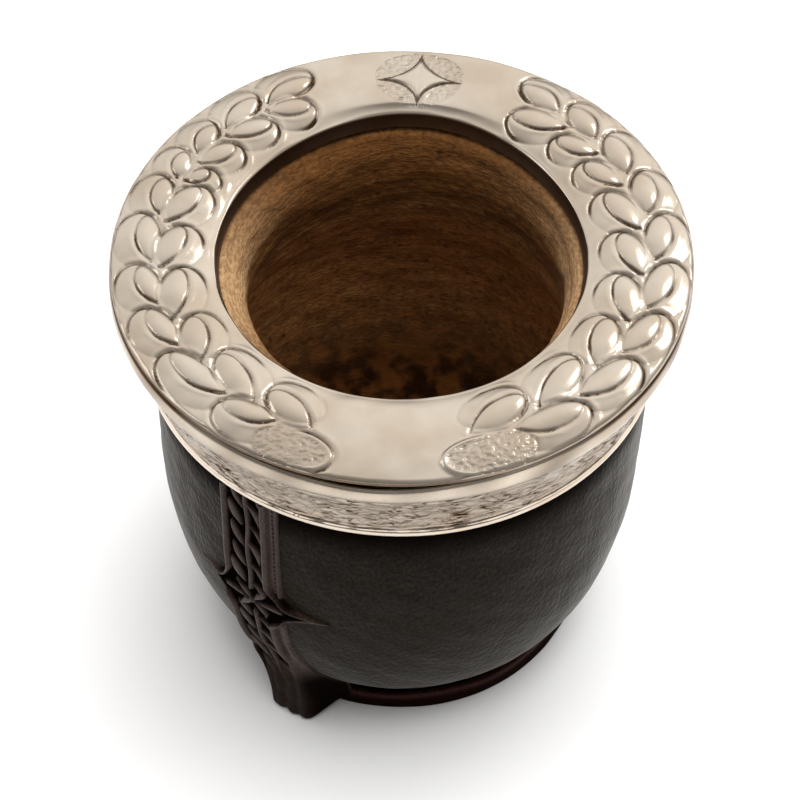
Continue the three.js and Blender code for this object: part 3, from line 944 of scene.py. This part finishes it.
welt_edge = (SOLE_RADIUS, WELT_TOP - SOLE_EDGE)
sole_outline = [(0, 0), (SOLE_RADIUS - SOLE_EDGE, 0)]
sole_outline += bow(sole_outline[-1], (SOLE_RADIUS, 0), (SOLE_RADIUS, SOLE_EDGE), 5)
sole_outline += bow(sole_outline[-1], (SOLE_RADIUS - 0.15, WELT_TOP / 2), welt_edge, 5)
sole_outline += bow(welt_edge, (SOLE_RADIUS, WELT_TOP), (WELT_RADIUS, WELT_TOP - 0.2), 5)
sole_outline += [(WELT_RADIUS - 0.2, SOLE_HEIGHT), (BOSS_RADIUS, SOLE_HEIGHT)]
sole_outline += [(BOSS_RADIUS, sole_high.z), (0, sole_high.z)]
sole = turned(sole_outline, SOLE_STEPS)
sole_points = points_of(sole)
_, radius = polar(sole_points)
level = sole_points[:, 2]
at_edge = smoothstep(34, 35.8, radius) * smoothstep(0, 0.6, level)
uneven = SOLE_UNEVEN * ripple(sole_points, 9, seed=21) * at_edge
sole_points[:, :2] *= (1 + uneven / np.maximum(radius, 1))[:, None]
move_to(sole, sole_points)
# Painted shade in the groove where the cover stands and on the lowest part of the edge.
in_groove = smoothstep(WELT_RADIUS + 0.1, WELT_RADIUS - 0.1, radius)
shaded = np.clip(FOOT_SHADE * smoothstep(3.6, 2.2, level) + in_groove, 0, 1)
finished(sole, "leather_sole_edge", "sole_leather", sole_leather, "leather_sole", cut=shaded)

# %% [markdown]
# The gourd is a dried calabash. Its cut edge is bevelled. The pale tan on the bevel is partly the paler
# cut wood and partly painted light, where light falls on the left and a little less on the right; at
# the back the bevel stays dark. Inside, the pith was scraped out with a spoon, which leaves fine streaks
# round the wall, and the bottom is rough; the colour darkens towards it. Near the lip the inside is
# painted darker, against the light on the bevel, and the wall under the neck lighter, as painted light
# in its shade. Use has left stains and small dark pits. It could be sculpted, but turning one outline,
# outside and inside, keeps the wall closed. The mesh carries the lumps and long streaks, and the finish
# adds what is finer.

# %% Calabash finish
# Dark and light colour of each zone of the inside.
# The lip is painted darker against the light on the bevel, and the wall lighter, as painted light in the
# shade under the neck.
LIP_BROWN = ((0.04, 0.0148, 0.0032, 1), (0.17, 0.067, 0.0155, 1))
WALL_BROWN = ((0.18, 0.08, 0.025, 1), (0.6, 0.29, 0.1, 1))
FLOOR_BROWN = ((0.02, 0.0062, 0.0014, 1), (0.115, 0.04, 0.0085, 1))
# The pale tan of the bevel: partly the cut wood, partly painted light.
CUT_EDGE_LIT_TAN = ((0.255, 0.14, 0.06, 1), (0.44, 0.275, 0.14, 1))
MOTTLE_BROWN = (0.03, 0.011, 0.003, 1)
STAIN_BROWN = (0.014, 0.0048, 0.0013, 1)


def calabash_finish():
    finish = Finish(bpy.data.materials.new("calabash"))
    deep = finish.attribute("deep")
    cut = finish.attribute("cut_edge")
    near_lip = finish.attribute("near_lip")
    streaks = finish.noise(110, 6, (1, 1, 8))
    fibre = finish.band(finish.noise(900, 5, (1, 1, 3.5)), 0.32, 0.68)
    blotch = finish.noise(200, 6)
    mottle = finish.band(finish.noise(330, 6, (1, 1, 1.6)), 0.45, 0.7)
    lip = finish.mix(streaks * 0.6 + fibre * 0.4, *LIP_BROWN)
    wall = finish.mix(streaks * 0.35 + fibre * 0.65, *WALL_BROWN)
    floor = finish.mix(finish.band(blotch, 0.4, 0.6), *FLOOR_BROWN)
    colour = finish.mix(deep, finish.mix(near_lip, wall, lip), floor)
    colour = finish.mix(mottle * 0.33, colour, MOTTLE_BROWN)
    stains = finish.band(finish.noise(130, 5, (1, 1, 0.55)), 0.5, 0.72) * (1 - deep)
    pits = finish.band(finish.noise(520, 3, (1, 1, 0.8)), 0.6, 0.7)
    colour = finish.mix(stains * 0.22 + pits * 0.45, colour, STAIN_BROWN)
    colour = finish.mix(cut, colour, finish.mix(fibre, *CUT_EDGE_LIT_TAN))
    normal = finish.bump(fibre, 0.4, 0.25, finish.bump(streaks, 0.35, 0.8))
    rough = 0.72 + streaks * 0.2
    return finish.surface(Base_Color=colour, Roughness=rough, Normal=normal, Specular_IOR_Level=0.25)


calabash = calabash_finish()
print("finish", calabash.name)

# %% Gourd
GOURD_TOP = gourd_high.z
GOURD_STEPS = 320
GOURD_SHOULDER = 39.5
INSIDE_MARGIN = 5.0
STREAK_DEPTH = 0.16
SCRATCH_DEPTH = 0.07
FLOOR_LUMPS = 0.7
MOUTH_BULGE = 0.85
TOP_RADIUS = 32.1
NECK_RADIUS = 28.9
NECK_LEVEL = 84.0
NECK_SIDE = 0.8
CAVITY = (
    (TOP_RADIUS - 0.3, GOURD_TOP - 0.5),
    (30.7, 87.6),
    (29.6, 85.4),
    (NECK_RADIUS, 82.4),
    (28.9, 79.2),
    (29.8, 74.5),
    (32.0, 68.0),
    (34.8, 59.5),
    (36.2, 51.0),
    (36.2, 43.0),
    (34.2, 33.5),
    (28.5, 23.0),
    (17.5, 16.6),
    (0, 14.5),
)
OUTER_LEVELS = (10, 14, 18, 23, 28, 34, 40, 48, 56, 63, 70)

gourd_outline = [(0, gourd_low.z), (28, gourd_low.z)]
gourd_outline += [(float(cover_radius(level)) - COVER_SHEET - 0.4, level) for level in OUTER_LEVELS]
gourd_outline += [(43, 80), (GOURD_SHOULDER, GOURD_TOP), (TOP_RADIUS + 0.5, GOURD_TOP)]
gourd_outline += bow(gourd_outline[-1], (TOP_RADIUS, GOURD_TOP), (TOP_RADIUS - 0.3, GOURD_TOP - 0.5), 4)
gourd_outline += [tuple(p) for p in smooth_through(CAVITY, 140)[1:]]
gourd = turned(gourd_outline, GOURD_STEPS)
gourd_points = points_of(gourd)
_, radius = polar(gourd_points)
level = gourd_points[:, 2]
wall_radii = (*cover_radius(OUTER_LEVELS), GOURD_SHOULDER)
outer_radius = np.interp(level, (*OUTER_LEVELS, GOURD_TOP), wall_radii)
inside = (radius < outer_radius - INSIDE_MARGIN) & (level > gourd_low.z + 2)
wall = inside * smoothstep(GOURD_TOP - 0.3, GOURD_TOP - 3, level)
streaks = STREAK_DEPTH * ripple(gourd_points * (1, 1, 3), 11, seed=31)
scratches = SCRATCH_DEPTH * ripple(gourd_points * (1, 1, 4), 4, seed=32)
lumps = FLOOR_LUMPS * ripple(gourd_points, 8, seed=33, waves=12) * smoothstep(30, 17, level)
gourd_points[:, :2] *= (1 + wall * (streaks + scratches) / np.maximum(radius, 5))[:, None]
gourd_points[:, 2] += wall * lumps
gourd_points[:, 0] += NECK_SIDE * wall * smoothstep(60, NECK_LEVEL, level)
angle, _ = polar(gourd_points)
widened = MOUTH_BULGE * bulge(angle) * (radius < 36) * smoothstep(70, 87, level)
gourd_points[:, :2] *= (1 + widened / np.maximum(radius, 5))[:, None]
# Painted light on the bevel: pale where light falls on it, on the left and a little less on the right.
lit_left = np.exp(-(((angle + 1.45) / 0.55) ** 2))
lit_right = 0.9 * np.exp(-(((angle - 1.4) / 0.65) ** 2))
on_bevel = smoothstep(NECK_LEVEL - 2, NECK_LEVEL + 1.5, level + 0.5 * ripple(gourd_points, 6, seed=34))
# Painted shade near the lip and painted light on the wall below it; the colour darkens towards the bottom.
zones = {
    "deep": inside * smoothstep(52, 24, level),
    "cut_edge": np.clip(inside * on_bevel * (lit_left + lit_right), 0, 1),
    "near_lip": inside * smoothstep(69, 79, level),
}
move_to(gourd, gourd_points)
finished(gourd, "gourd_scraped", "calabash", calabash, "gourd", **zones)

# %% [markdown]
# Each strap is tooled from thick leather: two rounded beads, a carved vine between them, a four-pointed
# star where the cup is widest, and a leg that swings away from the cover to the floor. A flat grid is
# extruded into a slab, its back is laid on the cover, and its front gets the carving as a height. Curves
# with a bevel could give the beads, but with one height the beads, the vine and the leg flow together.

# %% Strap sizes
STRAP_TURN = -36.0
STRAP_HALF = 6.3
STRAP_RISE = 1.7
STRAP_EDGE = 0.55
BEAD_INSET = 2.6
LEFT_BEAD_INSET = 1.0
STAR_BEAD_INSET = 0.45
BEAD_HALF = 0.8
STAR_BEAD_HALF = 0.38
STAR_LEVEL = 39.6
STAR_SIDE = 15.4
STAR_HALF_HEIGHT = 7.5
STAR_SHARPNESS = 4.2
LEG_TOP = 26.0
LEG_ROOT = 8.4
LEG_FACE = 3.2
LEG_LEAN = 4.3
LEG_LIFT = 3.4
LEG_OUTLINE = ((42.6, 0), (43.5, 1.6), (43.2, 6), (42.9, 12), (43.9, 18), (45.6, LEG_TOP))
STRAP_TOP = SKIRT_FOOT - 0.3
STRAP_COLUMNS = 110
STRAP_ROWS = 380
leg_curve = smooth_through(LEG_OUTLINE, 60)


def leg_share(level):
    return smoothstep(0, LEG_TOP, LEG_TOP - level)


def star_share(level):
    return np.clip(1 - np.abs(level - STAR_LEVEL) / STAR_HALF_HEIGHT, 0, 1)


def strap_half(level):
    return mix(mix(STRAP_HALF, LEG_ROOT, leg_share(level)), STAR_SIDE, star_share(level) ** STAR_SHARPNESS)


def spike_share(across, level):
    """0 on the strap, 1 at the tip of one of the star's side points."""
    return np.clip((np.abs(across) - STRAP_HALF) / (STAR_SIDE - STRAP_HALF), 0, 1) * (level > LEG_TOP)


def strap_back(level):
    return np.maximum(cover_radius(level), SOLE_RADIUS) + 0.1


def strap_crest(level):
    """Height of the strap's beads over what lies behind."""
    leg = np.interp(level, leg_curve[:, 1], leg_curve[:, 0]) - strap_back(level)
    return np.where(level < LEG_TOP, np.maximum(leg, STRAP_RISE), STRAP_RISE)


# %% Carving on the strap
LEAF_STEP = 5.8
# Distance from the stem and half width of the leaves on its left and right.
LEAF_MIDDLE = (2.7, 1.95)
VINE_LEAF_WIDTH = (1.3, 0.95)
VINE_LEAF_HALF = 3.4
LEAF_BEND = 0.07
VINE_LEAF_SLANT = math.radians(62)
FIELD_LEVEL = 0.35
LEAF_RISE = 0.8
PETAL_LEVEL = 0.25
PETAL_RISE = 0.9
ROSETTE = 0.95
ROSETTE_RISE = 1.5
SPIKE_LOW = 0.28
LOWER_SPIKE = 0.6
# How dark the leg's face and flank and the toe are painted, as painted shade.
FACE_SHADE = 0.55
FLANK_SHADE = (0.62, 0.95)
TOE_SHADE = 0.9


def ridge(distance, half_width):
    """A rounded ridge, 1 on its line and 0 at its foot."""
    return np.clip(1 - (distance / half_width) ** 2, 0, 1)


def vine_leaves(across, level):
    """Height of the leaves beside the stem. All slant down to the right, and the left ones are fuller."""
    slant_across, slant_down = math.cos(VINE_LEAF_SLANT), math.sin(VINE_LEAF_SLANT)
    side = np.where(across < 0, -1, 1)
    offset = across - side * np.where(across < 0, *LEAF_MIDDLE)
    drop = level - STAR_LEVEL + 0.3 * LEAF_STEP * side
    beside = offset * slant_down + drop * slant_across
    number = np.round(beside / (LEAF_STEP * slant_across))
    uneven = np.sin(number * 2.4 + side)
    beside = beside - number * LEAF_STEP * slant_across
    along = offset * slant_across - (drop - number * LEAF_STEP) * slant_down + 0.5 * uneven
    beside = beside + LEAF_BEND * (along**2 - 3) * side + 0.2 * uneven
    taper = 1 - np.clip(np.abs(along) / VINE_LEAF_HALF, 0, 1) ** 2
    half_width = np.where(across < 0, *VINE_LEAF_WIDTH) * (1 + 0.25 * uneven) * taper
    return ridge(beside, np.maximum(half_width, 0.02)) ** 0.7


def star_petals(across, level):
    """Four petals round the rosette on the diagonals, and a long leaf to each side."""
    x, z = np.abs(across), np.abs(level - STAR_LEVEL) * 0.85
    along, beside = (x + z) / math.sqrt(2) - 2.5, (x - z) / math.sqrt(2)
    half_width = 0.95 * (1 - np.clip(np.abs(along) / 2.1, 0, 1) ** 2)
    side_leaf = 0.85 * (1 - np.clip(np.abs(x - 4.4) / 3.6, 0, 1) ** 2)
    petals = ridge(beside, np.maximum(half_width, 0.02)) ** 0.7
    return np.maximum(petals, ridge(z, np.maximum(side_leaf, 0.02)) ** 0.7)


def carved_field(across, level):
    """Height of the carving between the beads, over the strap's back."""
    stem = 0.2 * np.sin(level * 0.42)
    leaves = np.maximum(LEAF_RISE * vine_leaves(across, level), ridge(across - stem, 0.6) ** 0.7)
    centre = PETAL_LEVEL + PETAL_RISE * star_petals(across, level)
    field = mix(FIELD_LEVEL + leaves, centre, smoothstep(0.45, 0.62, star_share(level)))
    ball = across**2 + (level - STAR_LEVEL) ** 2
    return np.maximum(field, ROSETTE_RISE * np.sqrt(np.clip(1 - ball / ROSETTE**2, 0, 1)))


def carved_front(across, level):
    """Height of the strap's front over its back, and how dark each point is painted with shade."""
    crest, leg, half, star = strap_crest(level), leg_share(level), strap_half(level), star_share(level)
    slope = STAR_SHARPNESS * (STAR_SIDE - STRAP_HALF) / STAR_HALF_HEIGHT * star ** (STAR_SHARPNESS - 1)
    inset = (half - np.abs(across)) / np.sqrt(1 + slope**2)
    in_star = smoothstep(0.05, 0.5, star)
    plain_inset = np.where(across < 0, LEFT_BEAD_INSET, BEAD_INSET)
    bead_inset = mix(mix(plain_inset, STAR_BEAD_INSET, in_star), LEG_ROOT - LEG_FACE, leg)
    bead_half = mix(BEAD_HALF, STAR_BEAD_HALF, in_star)
    ground = crest - STRAP_RISE
    spike = spike_share(across, level)
    on_spike = smoothstep(0, 0.1, spike)
    low = mix(1, SPIKE_LOW, smoothstep(0, 0.7, spike)) * mix(1, LOWER_SPIKE, on_spike * (level < STAR_LEVEL))
    bead = ground + (0.5 + 1.2 * ridge(inset - bead_inset, bead_half) ** 0.8) * low
    rough = 0.22 * np.sin(across * 2.3 + 0.8 * np.sin(level * 0.5)) + 0.1 * np.sin(level * 1.1 + across)
    carved = smoothstep(9, 17, level)
    worked = crest + (rough - 0.2) * smoothstep(0, 1.4, inset - bead_inset)
    field = mix(worked, ground + carved_field(across, level) * low, carved)
    out = np.clip(1 - inset / np.maximum(bead_inset, 0.1), 0, 1)
    flank = crest * (1 - smoothstep(0, 1, out)) + STRAP_EDGE * out
    margin = (STRAP_EDGE * smoothstep(-0.1, 0.3, inset) + 0.3 * ridge(inset - 0.35, 0.3)) * low
    side = mix(margin, flank, smoothstep(0.02, 0.35, leg))
    on_bead = inset > bead_inset - bead_half
    in_leg = smoothstep(0.1, 0.4, leg)
    bead = mix(bead, field, in_leg)
    beside = np.maximum(side, bead * on_bead * (in_leg < 1))
    height = np.where(inset > bead_inset, np.maximum(field, bead), beside)
    # Painted shade in the carved hollows, darker the deeper they lie, and in the slot of each side point.
    sunk = np.clip((ground + 1.05 - height) / 0.5, 0, 1) * carved
    slot = smoothstep(0.05, 0.35, inset - bead_inset)
    sunk = mix(sunk, slot, on_spike)
    # Painted shade in the crease outside each bead.
    bead_crease_shade = ridge(inset - bead_inset + bead_half + 0.05, 0.4) * (1 - smoothstep(0.02, 0.3, leg))
    bead_crease_shade *= mix(0.35, 1, in_star) * smoothstep(0.5, 0.1, spike)
    # Painted shade on the leg: on its face, darker on its flank, darkest at the toe.
    leg_shaded = smoothstep(0.2, 0.65, leg)
    toe = smoothstep(2.0, 0.3, level)
    flank_shade = np.maximum(bead_crease_shade, mix(*FLANK_SHADE, smoothstep(0, 0.4, out)) * leg_shaded)
    depth = np.where(inset > bead_inset, np.maximum(sunk, FACE_SHADE * leg_shaded), flank_shade)
    return np.maximum(height, 0.12), np.maximum(depth, TOE_SHADE * toe)


# %% Two straps with legs
STITCH_STEP = 1.25
STITCH_INSET = 0.95
STITCH_SIZE = (0.24, 0.24, 0.46)


def on_strap(across, level, height, turn):
    """Places on the strap, from its flat layout."""
    out = strap_back(level) + height
    angle = math.radians(turn) + np.arcsin((across + LEG_LEAN * leg_share(level)) / out)
    return np.stack([out * np.sin(angle), -out * np.cos(angle), level], -1)


def add_stitches(bm, turn):
    """A row of small stitches down the right margin, from the skirt to the star."""
    levels = np.arange(STAR_LEVEL + STAR_HALF_HEIGHT - 1, STRAP_TOP - 1, STITCH_STEP)
    row = bmesh.new()
    for place in on_strap(strap_half(levels) - STITCH_INSET, levels, STRAP_EDGE, turn):
        shape = Matrix.Translation(place) @ Matrix.Diagonal((*STITCH_SIZE, 1))
        bmesh.ops.create_uvsphere(row, u_segments=10, v_segments=6, radius=1, matrix=shape)
    mesh = bpy.data.meshes.new("stitches")
    row.to_mesh(mesh)
    row.free()
    bm.from_mesh(mesh)
    bpy.data.meshes.remove(mesh)
    return len(levels)


def strap_piece(name, node, turn):
    bm = bmesh.new()
    bmesh.ops.create_grid(bm, x_segments=STRAP_COLUMNS, y_segments=STRAP_ROWS, size=0.5)
    back = list(bm.verts)
    bmesh.ops.extrude_face_region(bm, geom=list(bm.faces), use_keep_orig=True)
    bmesh.ops.translate(bm, vec=(0, 0, -1), verts=back)
    flat = points_of(bm)
    level = np.clip((flat[:, 1] + 0.5) * STRAP_TOP, 0, STRAP_TOP)
    across = 2 * flat[:, 0] * strap_half(level)
    foot = np.clip(1 - level / LEG_TOP, 0, 1) ** 2
    level = level + LEG_LIFT * foot * smoothstep(1.2, LEG_ROOT - 1, np.abs(across - 1.2))
    height, depth = carved_front(across, level)
    in_front = flat[:, 2] > -0.5
    move_to(bm, on_strap(across, level, np.where(in_front, height, -0.4), turn))
    bmesh.ops.recalc_face_normals(bm, faces=bm.faces)
    stitches = add_stitches(bm, turn)
    cut = np.zeros(len(bm.verts))
    cut[: len(flat)] = in_front * depth
    print("stitches", stitches)
    finished(bm, name, "tooled_leather", tooled_leather, node, 60, cut=cut)


for number, turn in enumerate((STRAP_TURN, STRAP_TURN + 180), start=1):
    strap_piece(f"strap_leg_tooled_{number}", f"strap_leg_{number}", turn)

# %% [markdown]
# The studio: a plain pale floor, a soft sky and three square softboxes. A wide one overhead gives the
# floor its soft shadow, a small key behind the cup on the right puts glints on the leaves, and a weak
# fill stands on the left. The metal shows what is round it, so the sky darkens to the horizon and the
# front, and the overhead light is kept out of reflections. That gives the chasing its contrast.

# %% Studio
LIGHT_AIM = Vector((0, 0, 0.05))
# Place and side in metres, and power, of each softbox.
KEY = ((0.55, 0.48, 0.82), 0.3, 0.75)
FILL = ((-0.9, 0.1, 0.5), 0.6, 1.2)
OVERHEAD = ((0.16, 0.11, 1.2), 1.15, 18.9)
FLOOR_SIZE = 4
FLOOR_GREY = (0.95, 0.95, 0.95, 1)
SKY_WHITE = (1.0, 0.985, 0.965, 1)


def softbox(name, place, size, power):
    light = bpy.data.lights.new(name, "AREA")
    light.shape = "SQUARE"
    light.size = size
    light.energy = power
    box = bpy.data.objects.new(name, light)
    box.location = place
    box.rotation_euler = (LIGHT_AIM - Vector(place)).to_track_quat("-Z", "Y").to_euler()
    bpy.context.scene.collection.objects.link(box)
    return box


def studio_floor():
    bm = bmesh.new()
    bmesh.ops.create_grid(bm, x_segments=1, y_segments=1, size=FLOOR_SIZE)
    mesh = bpy.data.meshes.new("floor")
    bm.to_mesh(mesh)
    bm.free()
    finish = Finish(bpy.data.materials.new("pale_floor"))
    mesh.materials.append(finish.surface(Base_Color=FLOOR_GREY, Roughness=0.9))
    floor = bpy.data.objects.new("floor", mesh)
    bpy.context.scene.collection.objects.link(floor)


def studio_sky():
    """Bright behind the cup and on the right, darker in front of it and at the horizon."""
    sky = Finish(bpy.data.worlds.new("studio_sky"))
    spot = sky.node("ShaderNodeTexCoord", output="Generated")
    side, depth, rise = (sky.node("ShaderNodeSeparateXYZ", {}, {0: spot}, output=axis) for axis in "XYZ")
    to_back = 0.38 + sky.band(depth, -0.5, 0.75) * 0.85
    to_top = 0.3 + sky.band(rise, 0.02, 0.45) * 0.7
    to_right = 0.76 + sky.band(side, -0.8, 0.6) * 0.27
    strength = to_back * to_top * to_right
    light = sky.node("ShaderNodeBackground", {}, {"Color": SKY_WHITE, "Strength": strength})
    sky.node("ShaderNodeOutputWorld", {}, {"Surface": light})
    bpy.context.scene.world = sky.owner


studio_floor()
studio_sky()
softbox("key", *KEY)
softbox("fill", *FILL)
softbox("overhead", *OVERHEAD).visible_glossy = False
bpy.context.scene.view_settings.view_transform = "Standard"
print("lights", [light.name for light in bpy.data.lights])
